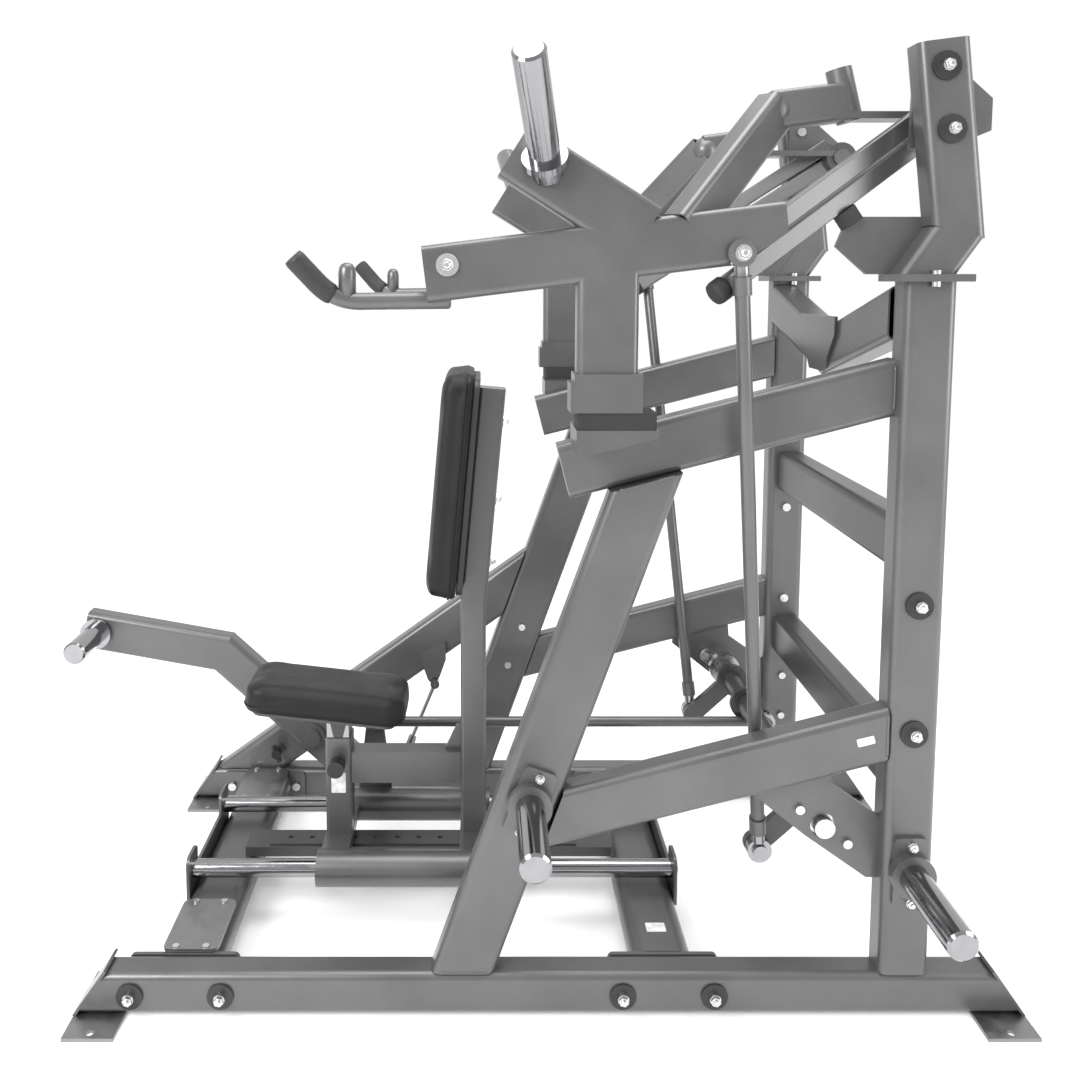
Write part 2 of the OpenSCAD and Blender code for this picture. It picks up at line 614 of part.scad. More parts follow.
module lever_pin() color([0.07, 0.07, 0.07]) {
  ycyl(-494, 318, 366, 133, 12);
  ycyl(-494, 310, 326, 133, 22);
  bar([-494 - 8, 317, 133 + 20], [-494 + 8, 317, 133 - 20], 12);
}

// ---- seat carriage ----
cx = -295;                  // middle of the seat column
bx = -15;                   // middle of the backrest post
module sleeves_env(d = 70) both() translate([-325, -rod_y, rod_z]) rotate([0, 90, 0])
  cylinder(h = 345, d = d);
module carriage_sleeves() color([0.55, 0.55, 0.56]) difference() {
  sleeves_env();
  both() translate([-340, -rod_y, rod_z]) rotate([0, 90, 0]) cylinder(h = 400, d = rod_d + 2 * fit);
}
post_top = [25, 1058];
module carriage_frame() color([0.48, 0.48, 0.49]) {
  difference() {
    union() {
      for (x = [cx, bx]) box([x - 28, -rod_y, 104], [x + 28, rod_y, 126]);
      translate([link_front, 0, 0]) plate([[-40, 110], [40, 110], [18, 300], [14, 312], [0, 318], [-14, 312],
        [-18, 300]], link_y + 13, link_y + 23);
    }
    for (x = [cx, bx]) box([x - 25, -rod_y - 1, 107], [x + 25, rod_y + 1, 123]);
    sleeves_env();
  }
  // seat column, open at the top for the seat stem
  difference() {
    translate([cx, 0, 126]) linear_extrude(204) rr(54, 54, 6);
    translate([cx, 0, 120]) linear_extrude(220) rr(48.8, 48.8, 3);
    ycyl(cx, -40, 0, 283, 12.2);
  }
  // backrest post: upright, then leaning back
  difference() {
    union() {
      translate([bx, 0, 126]) linear_extrude(500) rr(52, 52, 6);
      solid_beam([bx - 0.9, 0, 600], [post_top[0], 0, post_top[1]], 52, 52, 6);
    }
    translate([bx, 0, 125]) linear_extrude(480) rr(46, 46, 4);
    solid_beam([bx, 0, 610], [post_top[0] - 0.3, 0, post_top[1] - 4], 46, 46, 4);
  }
  // tie bar between column and post, with a small gusset
  difference() {
    box([cx + 27, -22, 232], [bx - 26, 22, 298]);
    box([cx + 20, -19, 235], [bx - 20, 19, 295]);
  }
  plate([[bx - 26, 298], [bx - 26, 350], [bx - 34, 350], [bx - 60, 298]], -5, 5);
  // collar of the seat pin
  difference() {
    ycyl(cx, -40, -27, 283, 30);
    ycyl(cx, -41, -20, 283, 12.2);
  }
}
pad = [-319, 418];          // middle of the seat pad
pad_a = -6.4;
module seat_stem() color([0.3, 0.3, 0.31]) difference() {
  union() {
    translate([cx, 0, 150]) linear_extrude(260) difference() {
      rr(48, 48, 3);
      rr(40, 40, 3);
    }
    translate([pad[0], 0, pad[1] - 27]) rotate([0, -pad_a, 0]) translate([0, 0, -8]) linear_extrude(8) rr(290, 140, 20);
  }
  translate([pad[0], -200, pad[1] - 27]) rotate([0, -pad_a, 0]) translate([-300, 0, 0]) cube([600, 400, 100]);
  // slot that the seat pin rides in
  ycyl(cx, -40, 0, 283, 12.2);
  box([cx - 6.1, -40, 183], [cx + 6.1, 0, 283]);
  ycyl(cx, -40, 0, 183, 12.2);
}
module seat_pad() color([0.1, 0.1, 0.1]) translate([pad[0], 0, pad[1] - 27]) rotate([0, -pad_a, 0])
  linear_extrude(54) rr(330, 172, 34);
bk = [-56, 872];            // middle of the backrest pad
bk_a = atan2(post_top[0] - bx, post_top[1] - 600);
module backrest_pad() color([0.1, 0.1, 0.1]) translate([bk[0], 0, bk[1]]) rotate([0, bk_a, 0]) {
  translate([-33, 0, 0]) rotate([0, 90, 0]) linear_extrude(58) rr(452, 260, 36);
  translate([25, 0, 0]) rotate([0, 90, 0]) linear_extrude(12) rr(430, 236, 28);
}
module seat_pin() color([0.07, 0.07, 0.07]) {
  ycyl(cx, -60, -8, 283, 12);
  ycyl(cx, -72, -44, 283, 34);
}

// ---- release lever on the brace ----
module release_bracket() color([0.42, 0.42, 0.43]) {
  plate([[-142, 372], [-86, 404], [-84, 360], [-98, 320], [-112, 292], [-128, 310], [-140, 345]], 338, half_w - 25);
  ycyl(-110, 316, 338.4, 306, 10);
}
module release_lever() color([0.6, 0.6, 0.61]) difference() {
  union() {
    ycyl(-110, 317, 337, 306, 22);
    bar([-111, 327, 303], [-168, 327, 165], 9);
    bar([-164.5, 327, 172], [-171.5, 327, 154], 20);
  }
  ycyl(-110, 300, 350, 306, 10 + 2 * fit);
}

near_base_rail();
far_base_rail();
near_strut();
far_strut();
near_upright();
far_upright();
near_upper_rail();
far_upper_rail();
near_lower_rail();
far_lower_rail();
front_cross_tube();
middle_cross_tube();
rear_upper_cross_tube();
rear_lower_cross_tube();
v_cross_member();
near_tower();
far_tower();
far_brace();
foot_plates();
end_plates();
footrest_plates();
rod_brackets();
guide_rods();
centre_rail();
storage_horns();
storage_horn_bases();
rest_pads();
rest_brackets();
crank_plates();
shaft_bearings();
frame_bolts();
bolt_covers();
pivot_housings();
stop_gussets();
stop_bumpers();
release_bracket();
near_arm_tubes();
near_lever();
near_horn();
near_handle();
near_grips();
far_arm_tubes();
far_lever();
far_horn();
far_handle();
far_grips();
near_pushrod();
far_pushrod();
crank_shaft();
link_rod();
front_lever();
front_lever_horn();
lever_pin();
carriage_frame();
carriage_sleeves();
seat_stem();
seat_pad();
backrest_pad();
seat_pin();
release_lever();
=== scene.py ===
# Looks of the seated press machine, on the CAD frame.
import bpy
import bmesh
import json
import math
from mathutils import Vector, Matrix


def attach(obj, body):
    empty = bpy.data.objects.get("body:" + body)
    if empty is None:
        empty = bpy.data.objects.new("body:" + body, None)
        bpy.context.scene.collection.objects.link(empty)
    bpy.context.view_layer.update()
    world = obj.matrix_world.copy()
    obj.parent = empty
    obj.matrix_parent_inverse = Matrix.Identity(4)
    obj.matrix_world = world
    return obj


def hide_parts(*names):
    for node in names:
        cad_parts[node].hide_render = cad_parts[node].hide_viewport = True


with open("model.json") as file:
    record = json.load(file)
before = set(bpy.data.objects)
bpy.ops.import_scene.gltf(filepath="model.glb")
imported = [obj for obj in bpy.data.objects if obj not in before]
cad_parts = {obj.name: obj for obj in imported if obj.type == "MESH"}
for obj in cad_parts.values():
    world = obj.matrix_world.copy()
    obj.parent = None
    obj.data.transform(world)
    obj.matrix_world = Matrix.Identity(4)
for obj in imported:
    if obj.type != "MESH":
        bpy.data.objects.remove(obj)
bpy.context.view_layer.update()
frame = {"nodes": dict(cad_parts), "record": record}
nodes = frame["nodes"]
scene = bpy.context.scene

# named places, X and Z in metres
ARM_BOLT = (-0.052, 1.298)      # bolt at the front of a press arm
ROD_TOP = (0.404, 1.316)        # upper pushrod eye
ROD_FOOT = (0.503, 0.250)       # lower pushrod eye
LEAN = 0.0409                   # backrest post: run to the rear over its rise
LEAN_RISE = 0.458
STRUT_ANGLE = math.radians(70.4)
UPPER_RAIL_ANGLE = math.radians(14.5)
LOWER_RAIL_ANGLE = math.radians(14.8)
BOARD = (0.430, 0.236, 0.028)   # backrest board: length, width, corner radius


# ---------- materials ----------
def new_mat(name, base, metallic, rough, coat=0.0):
    m = bpy.data.materials.new(name)
    m.use_nodes = True
    nt = m.node_tree
    p = nt.nodes["Principled BSDF"]
    p.inputs["Base Color"].default_value = (*base, 1)
    p.inputs["Metallic"].default_value = metallic
    p.inputs["Roughness"].default_value = rough
    if coat:
        p.inputs["Coat Weight"].default_value = coat
        p.inputs["Coat Roughness"].default_value = 0.25
    m.diffuse_color = (*base, 1)
    return m, nt, p


def noise(nt, scale, detail=4.0, rough=0.55, stretch=None):
    tc = nt.nodes.new("ShaderNodeTexCoord")
    n = nt.nodes.new("ShaderNodeTexNoise")
    n.inputs["Scale"].default_value = scale
    n.inputs["Detail"].default_value = detail
    n.inputs["Roughness"].default_value = rough
    if stretch:
        mp = nt.nodes.new("ShaderNodeMapping")
        mp.inputs["Scale"].default_value = stretch
        nt.links.new(tc.outputs["Object"], mp.inputs["Vector"])
        nt.links.new(mp.outputs["Vector"], n.inputs["Vector"])
    else:
        nt.links.new(tc.outputs["Object"], n.inputs["Vector"])
    return n


def ramp(nt, src, lo, hi, a, b):
    r = nt.nodes.new("ShaderNodeValToRGB")
    r.color_ramp.elements[0].position = lo
    r.color_ramp.elements[1].position = hi
    r.color_ramp.elements[0].color = a
    r.color_ramp.elements[1].color = b
    nt.links.new(src, r.inputs["Fac"])
    return r


def bump(nt, src, p, strength, dist):
    b = nt.nodes.new("ShaderNodeBump")
    b.inputs["Strength"].default_value = strength
    b.inputs["Distance"].default_value = dist
    nt.links.new(src, b.inputs["Height"])
    nt.links.new(b.outputs["Normal"], p.inputs["Normal"])
    return b


def grey(v):
    return (v, v, v * 1.01, 1)


def paint(name, v, rough=0.42):
    # satin metallic paint: fine flake, faint cloudiness, slight orange peel
    m, nt, p = new_mat(name, (v, v, v * 1.01), 0.55, rough, 0.3)
    flake = noise(nt, 900, 2.0)
    cloud = noise(nt, 5, 3.0)
    mix = nt.nodes.new("ShaderNodeMath")
    mix.operation = "MULTIPLY_ADD"
    mix.inputs[1].default_value = 0.6
    nt.links.new(flake.outputs["Fac"], mix.inputs[0])
    nt.links.new(cloud.outputs["Fac"], mix.inputs[2])
    r = ramp(nt, mix.outputs[0], 0.45, 1.1, grey(v * 0.8), grey(v * 1.2))
    nt.links.new(r.outputs["Color"], p.inputs["Base Color"])
    rr = ramp(nt, cloud.outputs["Fac"], 0.3, 0.7, grey(rough - 0.05), grey(rough + 0.06))
    nt.links.new(rr.outputs["Color"], p.inputs["Roughness"])
    peel = noise(nt, 260, 3.0)
    bump(nt, peel.outputs["Fac"], p, 0.10, 0.0004)
    return m


def metal(name, base, rough, streak=None, spread=0.08):
    m, nt, p = new_mat(name, base, 1.0, rough)
    n = noise(nt, 40, 5.0, 0.6, streak)
    r = ramp(nt, n.outputs["Fac"], 0.3, 0.7, grey(max(rough - spread, 0.02)), grey(rough + spread))
    nt.links.new(r.outputs["Color"], p.inputs["Roughness"])
    c = ramp(nt, n.outputs["Fac"], 0.25, 0.75, (*[x * 0.86 for x in base], 1), (*base, 1))
    nt.links.new(c.outputs["Color"], p.inputs["Base Color"])
    bump(nt, n.outputs["Fac"], p, 0.04, 0.0002)
    return m


def dull(name, v, rough, scale=700, strength=0.25):
    m, nt, p = new_mat(name, (v, v, v), 0.0, rough)
    n = noise(nt, scale, 3.0)
    c = ramp(nt, n.outputs["Fac"], 0.3, 0.7, grey(v * 0.75), grey(v * 1.3))
    nt.links.new(c.outputs["Color"], p.inputs["Base Color"])
    w = noise(nt, 9, 3.0)
    r = ramp(nt, w.outputs["Fac"], 0.3, 0.7, grey(rough - 0.08), grey(min(rough + 0.1, 1)))
    nt.links.new(r.outputs["Color"], p.inputs["Roughness"])
    bump(nt, n.outputs["Fac"], p, strength, 0.0004)
    return m


def vinyl(name, v):
    # pebbled artificial leather: small cells with creases between them
    m, nt, p = new_mat(name, (v, v, v), 0.0, 0.42)
    p.inputs["Specular IOR Level"].default_value = 0.33
    tc = nt.nodes.new("ShaderNodeTexCoord")
    cells = nt.nodes.new("ShaderNodeTexVoronoi")
    cells.feature = "DISTANCE_TO_EDGE"
    cells.inputs["Scale"].default_value = 520
    nt.links.new(tc.outputs["Object"], cells.inputs["Vector"])
    edge = ramp(nt, cells.outputs["Distance"], 0.0, 0.22, grey(0), grey(1))
    soft = noise(nt, 14, 4.0)
    c = ramp(nt, soft.outputs["Fac"], 0.3, 0.75, grey(v * 0.85), grey(v * 1.25))
    nt.links.new(c.outputs["Color"], p.inputs["Base Color"])
    r = ramp(nt, soft.outputs["Fac"], 0.3, 0.7, grey(0.36), grey(0.5))
    nt.links.new(r.outputs["Color"], p.inputs["Roughness"])
    b1 = bump(nt, edge.outputs["Color"], p, 0.28, 0.0004)
    b2 = nt.nodes.new("ShaderNodeBump")
    b2.inputs["Strength"].default_value = 0.25
    b2.inputs["Distance"].default_value = 0.003
    wr = noise(nt, 22, 5.0)
    nt.links.new(wr.outputs["Fac"], b2.inputs["Height"])
    nt.links.new(b2.outputs["Normal"], b1.inputs["Normal"])
    return m


MAT = {
    "silver_paint": paint("satin_grey_paint", 0.118, 0.36),
    "dark_paint": paint("satin_grey_paint_dark", 0.07),
    "chrome": metal("polished_chrome", (0.34, 0.34, 0.35), 0.14, (1, 6, 1), 0.05),
    "zinc_steel": metal("zinc_steel", (0.70, 0.70, 0.70), 0.26),
    "worn_steel": metal("worn_steel_plate", (0.30, 0.30, 0.30), 0.42, None, 0.12),
    "black_rubber": dull("black_rubber", 0.022, 0.75),
    "grip_rubber": dull("grip_rubber", 0.022, 0.6, 420, 0.4),
    "black_plastic": dull("black_plastic", 0.02, 0.42, 900, 0.12),
    "black_vinyl": vinyl("black_vinyl", 0.006),
    "tag_plate": dull("tag_plate", 0.72, 0.45, 60, 0.05),
}
# nodes whose finish is not their record slot's
SPECIAL = {
    "foot_plates": "worn_steel",
    "footrest_plates": "worn_steel",
    "rear_upper_cross_tube": "dark_paint",
    "rear_lower_cross_tube": "dark_paint",
    "centre_rail": "dark_paint",
    "crank_shaft": "dark_paint",
}
slot_of = {s["node"]: s["material_slot"] for s in frame["record"]["subparts"]}
for name, o in nodes.items():
    key = SPECIAL.get(name, slot_of[name])
    o.data.materials.clear()
    o.data.materials.append(MAT[key])
    for poly in o.data.polygons:
        poly.material_index = 0


def faces_to(name, key, test):
    """Faces of a CAD node whose middle passes the test take another finish."""
    o = nodes[name]
    o.data.materials.append(MAT[key])
    k = len(o.data.materials) - 1
    mw = o.matrix_world
    for poly in o.data.polygons:
        c = mw @ poly.center
        if test(c):
            poly.material_index = k


def near_to(c, xz, y, r):
    """Whether c lies within r of the point at X, Z and Y."""
    return (c - Vector((xz[0], y, xz[1]))).length < r


SIDES = (("near", -1), ("far", 1))
for side, sy in SIDES:
    faces_to(side + "_pushrod", "chrome",
             lambda c, sy=sy: near_to(c, ROD_TOP, sy * 0.466, 0.032)
             or near_to(c, ROD_FOOT, sy * 0.301, 0.034))
    faces_to(side + "_arm_tubes", "zinc_steel",
             lambda c, sy=sy: sy * c.y > 0.4557
             and (near_to(c, ARM_BOLT, sy * 0.459, 0.03) or near_to(c, ROD_TOP, sy * 0.470, 0.03)))
    faces_to(side + "_lever", "dark_paint", lambda c: c.x > 0.76)
faces_to("seat_stem", "dark_paint", lambda c: c.z > 0.33)
faces_to("crank_shaft", "zinc_steel", lambda c: abs(c.y) > 0.3415)
faces_to("link_rod", "zinc_steel", lambda c: c.x < -0.21 or c.x > 0.60)
faces_to("carriage_sleeves", "dark_paint", lambda c: abs(c.x + 0.1525) > 0.172)


# ---------- helpers ----------
def loft(name, pts, radii, mat, seg=28, close=(True, True)):
    """A round bar along a path, one radius for each point."""
    bm = bmesh.new()
    pts = [Vector(p) for p in pts]
    up = None
    rings = []
    for i, p in enumerate(pts):
        a = pts[max(i - 1, 0)]
        b = pts[min(i + 1, len(pts) - 1)]
        t = b - a
        if t.length < 1e-9:
            t = pts[min(i + 2, len(pts) - 1)] - pts[max(i - 2, 0)]
        t.normalize()
        if up is None:
            up = t.orthogonal().normalized()
        up = (up - t * up.dot(t)).normalized()
        side = t.cross(up)
        ring = []
        for k in range(seg):
            turn = 2 * math.pi * k / seg
            ring.append(bm.verts.new(p + (up * math.cos(turn) + side * math.sin(turn)) * radii[i]))
        rings.append(ring)
    for i in range(len(rings) - 1):
        for k in range(seg):
            j = (k + 1) % seg
            bm.faces.new((rings[i][k], rings[i][j], rings[i + 1][j], rings[i + 1][k]))
    if close[0]:
        bm.faces.new(list(reversed(rings[0])))
    if close[1]:
        bm.faces.new(rings[-1])
    bmesh.ops.recalc_face_normals(bm, faces=bm.faces)
    return obj_from(bm, name, mat)


def obj_from(bm, name, mat, smooth=True):
    me = bpy.data.meshes.new(name)
    bm.to_mesh(me)
    bm.free()
    o = bpy.data.objects.new(name, me)
    scene.collection.objects.link(o)
    o.data.materials.append(mat)
    for p in me.polygons:
        p.use_smooth = smooth
    return o


def rounded(w, h, r, n=10):
    pts = []
    for k, (sx, sy) in enumerate(((1, 1), (-1, 1), (-1, -1), (1, -1))):
        for i in range(n + 1):
            a = math.pi / 2 * (k + i / n)
            pts.append((sx * (w / 2 - r) + r * math.cos(a), sy * (h / 2 - r) + r * math.sin(a)))
    return pts


def apply_mods(o):
    dg = bpy.context.evaluated_depsgraph_get()
    me = bpy.data.meshes.new_from_object(o.evaluated_get(dg))
    o.modifiers.clear()
    old = o.data
    o.data = me
    me.name = old.name + "_done"


def pad(name, size, r, place, flat, cap):
    """A stuffed pad: closed rounded slab, swollen by cloth pressure, then a welt round its base.
    size = length, width, thickness; local +Z is the face that is sat on."""
    L, W, T = size
    inset = cap * 0.30
    bm = bmesh.new()
    prev = None
    first = None
    rows = ((0.0, 0.004), (0.10, 0.0015), (0.5, 0.001), (0.82, 0.0015), (0.93, 0.0045), (1.0, 0.012))
    for f, ins in rows:
        ring = [bm.verts.new((x, y, f * (T - inset)))
                for x, y in rounded(L - 2 * ins, W - 2 * ins, r)]
        if prev:
            for i in range(len(ring)):
                j = (i + 1) % len(ring)
                bm.faces.new((prev[i], prev[j], ring[j], ring[i]))
        else:
            first = ring
        prev = ring
    bm.faces.new(prev)
    bm.faces.new(list(reversed(first)))
    bmesh.ops.recalc_face_normals(bm, faces=bm.faces)
    o = obj_from(bm, name, MAT["black_vinyl"])
    rm = o.modifiers.new("voxels", "REMESH")
    rm.mode = "VOXEL"
    rm.voxel_size = 0.006
    apply_mods(o)
    start = [v.co.copy() for v in o.data.vertices]
    vg = o.vertex_groups.new(name="board")
    vg.add([v.index for v in o.data.vertices if v.co.z < 0.012], 1.0, "REPLACE")
    c = o.modifiers.new("stuffing", "CLOTH")
    s = c.settings
    s.quality = 5
    s.mass = 0.3
    s.vertex_group_mass = "board"
    s.pin_stiffness = 5
    s.use_pressure = True
    s.uniform_pressure_force = 4
    s.effector_weights.gravity = 0
    s.tension_stiffness = 12
    s.compression_stiffness = 12
    s.bending_stiffness = 0.5
    c.collision_settings.use_collision = False
    c.point_cache.frame_start = 1
    c.point_cache.frame_end = 20
    for fr in range(1, 21):
        scene.frame_set(fr)
    apply_mods(o)
    scene.frame_set(1)
    for v, s0 in zip(o.data.vertices, start):
        d = v.co - s0
        if d.length > cap:
            v.co = s0 + d * (cap / d.length)
    # stay inside the slab's own space, flat where the board holds it
    for v in o.data.vertices:
        v.co.x = max(-L / 2 - 0.002, min(L / 2 + 0.002, v.co.x))
        v.co.y = max(-W / 2 - 0.002, min(W / 2 + 0.002, v.co.y))
        v.co.z = max(0.0, min(T + 0.004, v.co.z))
    sm = o.modifiers.new("soften", "SMOOTH")
    sm.iterations = 6
    sm.factor = 0.5
    apply_mods(o)
    sub = o.modifiers.new("sub", "SUBSURF")
    sub.levels = 1
    sub.render_levels = 1
    apply_mods(o)
    for p in o.data.polygons:
        p.use_smooth = True
    o.data.materials.clear()
    o.data.materials.append(MAT["black_vinyl"])
    o.matrix_world = place
    # sewn welt where the face panel meets the side panel
    w = welt(name + "_welt", rounded(L - 0.004, W - 0.004, r), flat, 0.0022, place)
    return o, w


def welt(name, ring, z, rad, place):
    bm = bmesh.new()
    n = len(ring)
    rows = []
    for i, (x, y) in enumerate(ring):
        a, b = ring[i - 1], ring[(i + 1) % n]
        t = Vector((b[0] - a[0], b[1] - a[1], 0)).normalized()
        nrm = Vector((t.y, -t.x, 0))
        row = []
        for k in range(8):
            turn = k * math.pi / 4
            row.append(bm.verts.new(Vector((x, y, z)) + nrm * rad * math.cos(turn)
                                    + Vector((0, 0, rad * math.sin(turn)))))
        rows.append(row)
    for i in range(n):
        a, b = rows[i], rows[(i + 1) % n]
        for k in range(8):
            j = (k + 1) % 8
            bm.faces.new((a[k], b[k], b[j], a[j]))
    bmesh.ops.recalc_face_normals(bm, faces=bm.faces)
    o = obj_from(bm, name, MAT["black_vinyl"])
    o.matrix_world = place
    return o


# ---------- seat and backrest ----------
def frame_at(x, z, angle, up):
    """Pad placement: local X along the pad, local Z out of its sitting face."""
    return Matrix.Translation((x, 0, z)) @ Matrix.Rotation(angle, 4, "Y") @ up


seat_a = math.radians(6.4)
seat_m = frame_at(-0.319, 0.391, seat_a, Matrix.Identity(4))
seat, seat_welt = pad("seat_cushion", (0.330, 0.172, 0.054), 0.034, seat_m, 0.013, 0.0035)
bk_a = math.atan2(0.040, 0.458)
# local X runs down the backrest and local Z faces the user
back_m = frame_at(-0.056, 0.872, bk_a,
                  Matrix.Translation((0.025, 0, 0)) @ Matrix.Rotation(-math.pi / 2, 4, "Y"))
back, back_welt = pad("backrest_cushion", (0.452, 0.260, 0.058), 0.036, back_m, 0.014, 0.0045)
bm = bmesh.new()
lo = [bm.verts.new((x, y, -0.0127)) for x, y in rounded(*BOARD)]
hi = [bm.verts.new((x, y, -0.0002)) for x, y in rounded(*BOARD)]
for i in range(len(lo)):
    j = (i + 1) % len(lo)
    bm.faces.new((lo[i], lo[j], hi[j], hi[i]))
bm.faces.new(list(reversed(lo)))
bm.faces.new(hi)
board = obj_from(bm, "backrest_board", MAT["black_plastic"], smooth=False)
bv = board.modifiers.new("edge", "BEVEL")
bv.width = 0.002
bv.segments = 2
board.matrix_world = back_m
for o, body in ((seat, "seat"), (seat_welt, "seat"), (back, "carriage"), (back_welt, "carriage"),
                (board, "carriage")):
    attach(o, body)
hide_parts("seat_pad")
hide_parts("backrest_pad")


# ---------- handles and grips ----------
def handle(side, sy):
    def v(x, y, z):
        return Vector((x, sy * y, z))

    a, b, c = v(-0.047, 0.430, 1.2426), v(-0.232, 0.430, 1.240), v(-0.288, 0.448, 1.303)
    d1, d2 = (a - b).normalized(), (c - b).normalized()
    p0, p1 = b + d1 * 0.042, b + d2 * 0.042
    bend = [p0.lerp(b, t / 12).lerp(b.lerp(p1, t / 12), t / 12) for t in range(13)]
    path = [a, a.lerp(p0, 0.01), a.lerp(p0, 0.03), a.lerp(p0, 0.5)] + bend + [c]
    radii = [0.009, 0.0125, 0.014] + [0.014] * (len(path) - 3)
    tube = loft(side + "_handle_tube", path, radii, MAT["silver_paint"])
    post = [v(-0.212, 0.430, z) for z in (1.243, 1.285, 1.294, 1.299, 1.3018)]
    stub = loft(side + "_handle_stub", post, [0.014, 0.014, 0.0125, 0.0095, 0.004], MAT["silver_paint"])
    # rubber sleeve, a little narrower at both ends, with an open end
    e = c + d2 * 0.010
    n = 14
    pts, rad = [], []
    for i in range(n + 1):
        pts.append(bend[7 + i] if i < 5 else bend[12].lerp(e, (i - 5) / (n - 5)))
        rad.append(0.0170 - (0.0016 if i in (0, n) else 0.0))
    pts += [e - d2 * 0.0005, e - d2 * 0.007]
    rad += [0.0095, 0.0090]
    sleeve = loft(side + "_grip_sleeve", pts, rad, MAT["grip_rubber"])
    # rubber end of the lower lever bar
    s1, s2 = v(0.800, 0.275, 1.545), v(0.388, 0.431, 1.545 - 0.412 * math.tan(math.radians(34.3)))
    u = (s2 - s1).normalized()
    pts = [s2 + u * k for k in (0.0003, 0.002, 0.008, 0.018, 0.0235, 0.026)]
    tip = loft(side + "_lever_tip", pts, [0.0185, 0.020, 0.020, 0.020, 0.0185, 0.014], MAT["black_rubber"])
    for o, sl in ((tube, "silver_paint"), (stub, "silver_paint"),
                  (sleeve, "grip_rubber"), (tip, "grip_rubber")):
        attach(o, side + "_arm")
    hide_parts(side + "_handle")
    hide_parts(side + "_grips")


for side, sy in SIDES:
    handle(side, sy)


# ---------- weld beads and blank tags ----------
def bead(name, pts, r=0.0028):
    """A weld: a small rippled bead along a line of points."""
    out = []
    for i in range(len(pts) - 1):
        p, q = Vector(pts[i]), Vector(pts[i + 1])
        k = max(2, int((q - p).length / 0.0035))
        out += [p.lerp(q, t / k) for t in range(k)]
    out.append(Vector(pts[-1]))
    rad = [r * (0.78 + 0.22 * abs(math.sin(i * 1.57))) for i in range(len(out))]
    o = loft(name, out, rad, MAT["silver_paint"], seg=8)
    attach(o, "frame")


ta = math.tan(UPPER_RAIL_ANGLE)
tl = math.tan(LOWER_RAIL_ANGLE)
sa = STRUT_ANGLE
for side, sy in SIDES:
    y = sy * 0.4015
    # strut to upper rail, strut to base rail
    zl = 0.955 - 0.047 / math.cos(UPPER_RAIL_ANGLE)
    hw = 0.052 / math.sin(sa)

    def top(off):
        # where the strut's edge line meets the rail's lower plane
        x = (zl - 0.143 * ta - 0.080 + (-0.031 + off) * math.tan(sa)) / (math.tan(sa) - ta)
        return x, zl + (x - 0.143) * ta

    x0, z0 = top(-hw + 0.014)
    x1, z1 = top(hw - 0.014)
    bead(side + "_weld_strut_top", [(x0, y, z0), (x1, y, z1)])
    bead(side + "_weld_strut_foot", [(-0.031 - hw + 0.014, y, 0.0815), (-0.031 + hw - 0.014, y, 0.0815)])
    # rails to the upright's front face
    for nm, zc, h, yy, t in (("upper", 0.955 + (0.688 - 0.143) * ta, 0.047, 0.3775, ta),
                             ("lower", 0.508, 0.046, 0.4045, tl)):
        c = math.cos(math.atan(t))
        bead(side + "_weld_" + nm,
             [(0.6865, sy * yy, zc - h / c + 0.013), (0.6865, sy * yy, zc + h / c - 0.013)])


def tag(name, loc, size, body, rot=None):
    """A small blank plate with rounded corners."""
    bm = bmesh.new()
    lo = [bm.verts.new((x, y, 0)) for x, y in rounded(size[0], size[1], 0.002, 4)]
    hi = [bm.verts.new((x, y, 0.0006)) for x, y in rounded(size[0] - 0.0006, size[1] - 0.0006, 0.002, 4)]
    for i in range(len(lo)):
        j = (i + 1) % len(lo)
        bm.faces.new((lo[i], lo[j], hi[j], hi[i]))
    bm.faces.new(hi)
    bm.faces.new(list(reversed(lo)))
    o = obj_from(bm, name, MAT["tag_plate"], smooth=False)
    o.matrix_world = Matrix.Translation(loc) @ (rot or Matrix.Rotation(math.pi / 2, 4, "X"))
    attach(o, body)


tag("seat_column_tag", (-0.295, -0.0272, 0.235), (0.030, 0.044), "carriage")
tag("lower_rail_tag", (0.650, -0.4052, 0.500), (0.030, 0.014), "frame",
    Matrix.Rotation(-LOWER_RAIL_ANGLE, 4, "Y") @ Matrix.Rotation(math.pi / 2, 4, "X"))
tag("middle_tube_tag", (0.325, -0.270, 0.0782), (0.036, 0.026), "frame", Matrix.Identity(4))


def hex_bolt(bm, loc, axis, r=0.0095, washer=True):
    """Washer, hexagon nut with a chamfer, and the bolt's domed end, all on a surface."""
    p, u = Vector(loc), Vector(axis).normalized()
    side = u.orthogonal().normalized()
    rows = [(0.0, r * 1.36, 24), (0.0015, r * 1.36, 24), (0.0018, r * 1.30, 24)] if washer else []
    stacks = [rows] if rows else []
    h0 = 0.0018 if washer else 0.0
    stacks.append([(h0, r, 6), (h0 + 0.0058, r, 6), (h0 + 0.0066, r * 0.88, 6)])
    stacks.append([(h0 + 0.0060, r * 0.56, 16), (h0 + 0.0092, r * 0.56, 16), (h0 + 0.0106, r * 0.36, 16)])
    for st in stacks:
        prev = None
        for d, rad, seg in st:
            ring = []
            for k in range(seg):
                t = 2 * math.pi * k / seg
                across = side * math.cos(t) + u.cross(side) * math.sin(t)
                ring.append(bm.verts.new(p + u * d + across * rad))
            if prev is None:
                bm.faces.new(list(reversed(ring)))
            else:
                for k in range(seg):
                    bm.faces.new((prev[k], prev[(k + 1) % seg], ring[(k + 1) % seg], ring[k]))
            prev = ring
        bm.faces.new(prev)


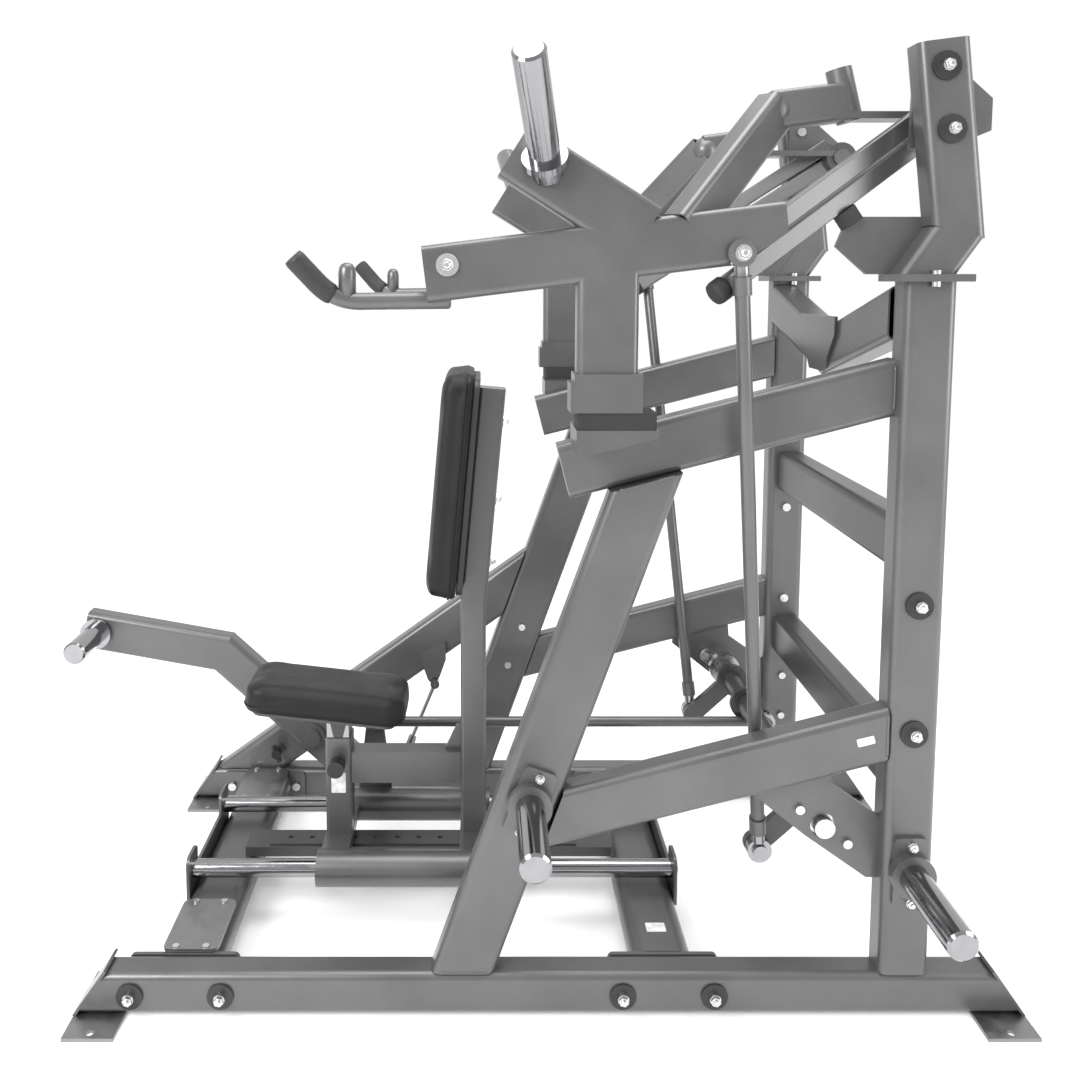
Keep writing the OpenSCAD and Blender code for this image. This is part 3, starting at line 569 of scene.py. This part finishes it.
def bolt_group(name, body, spots):
    bm = bmesh.new()
    for loc, axis, r, washer in spots:
        hex_bolt(bm, loc, axis, r, washer)
    bmesh.ops.recalc_face_normals(bm, faces=bm.faces)
    o = obj_from(bm, name, MAT["zinc_steel"], smooth=False)
    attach(o, body)


# bolts on the rear face of the backrest post
pa = math.atan2(LEAN, LEAN_RISE)
post = []
for z in (0.700, 0.830, 0.990):
    x = -0.0159 + (z - 0.600) * math.tan(pa) + 0.0261 / math.cos(pa)
    post.append(((x, 0, z), (math.cos(pa), 0, -math.sin(pa)), 0.0095, True))
bolt_group("post_bolts", "carriage", post)
strut = [(0.083 + k * 0.050 * math.cos(sa), 0.392 + k * 0.050 * math.sin(sa)) for k in (-1, 1)]
for side, sy in SIDES:
    out = (0, sy, 0)
    spots = [((x, sy * 0.416, 0.042), out, 0.0088, False) for x in (-0.607, -0.450, 0.246, 0.404)]
    spots += [((0.730, sy * 0.416, z), out, 0.0088, False) for z in (0.735, 0.513)]
    spots += [((x, sy * 0.416, z), out, 0.0088, False) for x, z in ((0.737, 1.612), (0.750, 1.514))]
    spots += [((0.731, sy * 0.420, z), out, 0.0072, False) for z in (0.320, 0.220)]
    spots += [((x, sy * 0.417, z), out, 0.0072, False) for x, z in strut]
    bolt_group(side + "_frame_nuts", "frame", spots)
    bolt_group(side + "_arm_nuts", side + "_arm",
               [((ARM_BOLT[0], sy * 0.463, ARM_BOLT[1]), out, 0.0100, False),
                ((ROD_TOP[0], sy * 0.483, ROD_TOP[1]), out, 0.0110, False)])


# ---------- floor, light, camera ----------
bm = bmesh.new()
bmesh.ops.create_grid(bm, x_segments=1, y_segments=1, size=60)
m, nt, p = new_mat("pale_floor", (0.9, 0.9, 0.9), 0.0, 0.9)
n = noise(nt, 3, 2.0)
c = ramp(nt, n.outputs["Fac"], 0.2, 0.8, grey(0.89), grey(0.91))
nt.links.new(c.outputs["Color"], p.inputs["Base Color"])
p.inputs["Emission Color"].default_value = (1, 1, 1, 1)
p.inputs["Emission Strength"].default_value = 0.22
floor = obj_from(bm, "studio_floor", m, smooth=False)
floor.location = (0, 0, -0.0005)
world = bpy.data.worlds.new("studio")
scene.world = world
world.use_nodes = True
wt = world.node_tree
wt.nodes["Background"].inputs["Strength"].default_value = 1.0
wc = wt.nodes.new("ShaderNodeTexCoord")
wx = wt.nodes.new("ShaderNodeSeparateXYZ")
wm = wt.nodes.new("ShaderNodeMath")
wm.operation = "MULTIPLY_ADD"
wm.inputs[1].default_value = 0.9
wr = wt.nodes.new("ShaderNodeValToRGB")
wr.color_ramp.elements[0].position = 0.0
wr.color_ramp.elements[0].color = (0.66, 0.66, 0.66, 1)
wr.color_ramp.elements[1].position = 0.55
wr.color_ramp.elements[1].color = (1.0, 1.0, 1.0, 1)
wt.links.new(wc.outputs["Generated"], wx.inputs["Vector"])
wt.links.new(wx.outputs["Z"], wm.inputs[0])
wt.links.new(wx.outputs["Y"], wm.inputs[2])
wt.links.new(wm.outputs[0], wr.inputs["Fac"])
wt.links.new(wr.outputs["Color"], wt.nodes["Background"].inputs["Color"])


def area(name, loc, target, size, energy):
    ld = bpy.data.lights.new(name, "AREA")
    ld.shape = "RECTANGLE"
    ld.size, ld.size_y = size
    ld.energy = energy
    o = bpy.data.objects.new(name, ld)
    scene.collection.objects.link(o)
    o.location = loc
    o.rotation_euler = (Vector(target) - Vector(loc)).to_track_quat("-Z", "Y").to_euler()


area("key_left", (-2.2, -2.6, 2.6), (0, 0, 1.1), (1.6, 1.6), 125)
area("top", (0.2, -0.2, 3.6), (0, 0, 0.6), (2.4, 1.6), 60)
area("side_right", (2.9, -1.6, 1.6), (0, 0, 0.8), (1.2, 2.2), 45)

cd = bpy.data.cameras.new("photo_camera")
cam = bpy.data.objects.new("photo_camera", cd)
scene.collection.objects.link(cam)
cam.location = (0, -2.0677, 1.2745)
cam.rotation_euler = (math.pi / 2 - 0.0973, 0, 0)
cd.sensor_width = 36
cd.lens = 34.2
cd.shift_x = 0.055
cd.shift_y = -0.148
scene.camera = cam
scene.view_settings.view_transform = "Standard"
